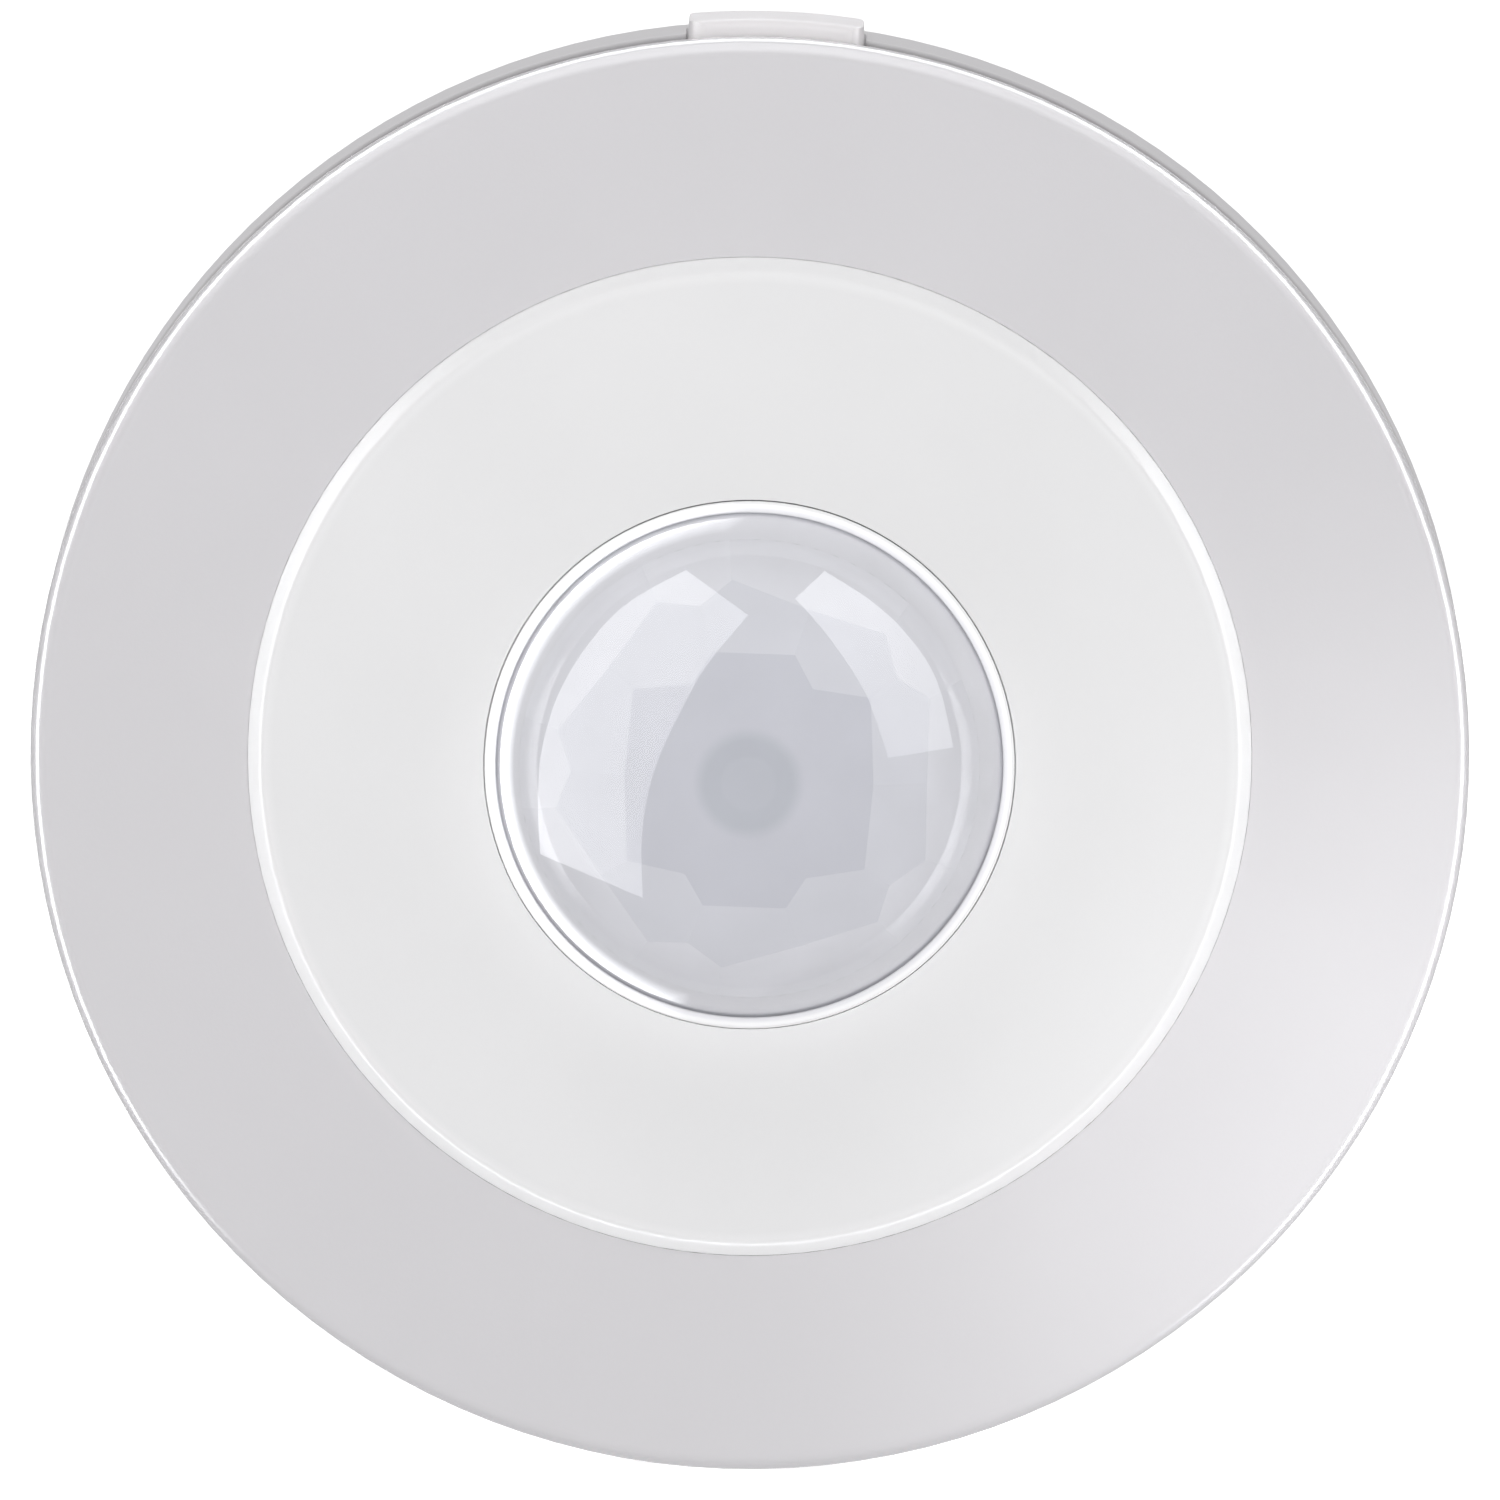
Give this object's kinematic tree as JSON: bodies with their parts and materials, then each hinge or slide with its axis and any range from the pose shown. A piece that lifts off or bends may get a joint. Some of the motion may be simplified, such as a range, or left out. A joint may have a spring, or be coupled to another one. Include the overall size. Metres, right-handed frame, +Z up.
{
  "type": "motion sensor",
  "caption": "Round white ceiling or wall motion sensor: faceted milky dome in a flared centre, twist-on head on a screw-on base, sprung release tab.",
  "frame": {"origin": "centre of the flat back face of the mounting base, where it lies on the wall or ceiling", "axes": "+Z up through the release tab, -Y out of the wall along the dome's axis, +X to the right as seen from the front"},
  "size_m": [0.11, 0.0373, 0.1112],
  "materials": {
    "base_plastic": "fine satin moulded ABS, warm white",
    "tab_plastic": "satin moulded ABS, white",
    "shell_plastic": "satin moulded ABS, off-white",
    "cover_plastic": "fine satin moulded ABS, slightly grey white",
    "bezel_plastic": "smooth satin moulded ABS, bright white",
    "ring_plastic": "polished bright white trim",
    "dome_plastic": "milky blue-grey polyethylene, smooth outside, faceted inside",
    "clamp_plastic": "natural moulded ABS",
    "board": "green solder mask",
    "black_epoxy": "black moulded epoxy",
    "black_nylon": "black nylon",
    "sensor_steel": "nickel plated can",
    "filter_glass": "dark coated silicon infrared filter",
    "led_epoxy": "diffused epoxy",
    "ceramic": "fired ceramic with tinned ends",
    "cap_sleeve": "shrunk dark blue sleeve",
    "radio_board": "blue solder mask",
    "shield_tin": "tinned steel can",
    "copper": "enamelled copper wire",
    "plunger_plastic": "natural acetal",
    "button_plastic": "red acetal",
    "dip_plastic": "red moulded nylon",
    "slider_plastic": "white moulded nylon",
    "spring_wire": "bright spring wire",
    "cell_jacket": "plain blue shrink jacket over a steel can",
    "contact_plate": "nickel plated spring steel",
    "screw_steel": "zinc plated steel"
  },
  "bodies": {
    "base": {"mounting_base": "base_plastic", "latch_springs": "spring_wire"},
    "detector": {"rear_shell": "shell_plastic", "front_cover": "cover_plastic", "center_bezel": "bezel_plastic", "lens_ring": "ring_plastic", "dome_lens": "dome_plastic", "lens_clamp": "clamp_plastic", "circuit_board": "board", "sensor_spacer": "black_nylon", "pyro_sensor": "sensor_steel", "pyro_window": "filter_glass", "indicator_led": "led_epoxy", "microcontroller": "black_epoxy", "amplifier_chip": "black_epoxy", "chip_resistors": "black_epoxy", "chip_capacitors": "ceramic", "electrolytic_capacitors": "cap_sleeve", "radio_module": "radio_board", "radio_shield": "shield_tin", "antenna_coil": "copper", "tamper_switch": "black_nylon", "tamper_spring": "spring_wire", "learn_switch": "black_nylon", "dip_switch": "dip_plastic", "battery_left": "cell_jacket", "battery_right": "cell_jacket", "positive_contacts": "contact_plate", "negative_contacts": "contact_plate", "contact_springs": "spring_wire", "case_screws": "screw_steel", "pcb_screws": "screw_steel"},
    "latch": {"release_tab": "tab_plastic"},
    "tamper": {"tamper_plunger": "plunger_plastic"},
    "learn": {"learn_button": "button_plastic"},
    "dip_1": {"dip_slider_1": "slider_plastic"},
    "dip_2": {"dip_slider_2": "slider_plastic"}
  },
  "joints": [
    {"name": "detector_twist", "type": "hinge", "parent": "base", "child": "detector", "pos_m": [0, 0, 0], "axis": [0, -1, 0], "range_deg": [0, 16]},
    {"name": "release_tab_slide", "type": "slide", "parent": "base", "child": "latch", "axis": [0, 0, -1], "range_m": [0, 0.001], "stiffness_N_per_m": 800, "springref_m": -0.002, "deforming": ["latch_springs"]},
    {"name": "tamper_slide", "type": "slide", "parent": "detector", "child": "tamper", "axis": [0, -1, 0], "range_m": [0, 0.0008], "stiffness_N_per_m": 300, "springref_m": -0.003, "deforming": ["tamper_spring"]},
    {"name": "learn_press", "type": "slide", "parent": "detector", "child": "learn", "axis": [0, -1, 0], "range_m": [0, 0.0003], "stiffness_N_per_m": 1500, "springref_m": -0.0005},
    {"name": "dip_slide_1", "type": "slide", "parent": "detector", "child": "dip_1", "axis": [0, 0, 1], "range_m": [0, 0.0019]},
    {"name": "dip_slide_2", "type": "slide", "parent": "detector", "child": "dip_2", "axis": [0, 0, 1], "range_m": [0, 0.0019]}
  ]
}
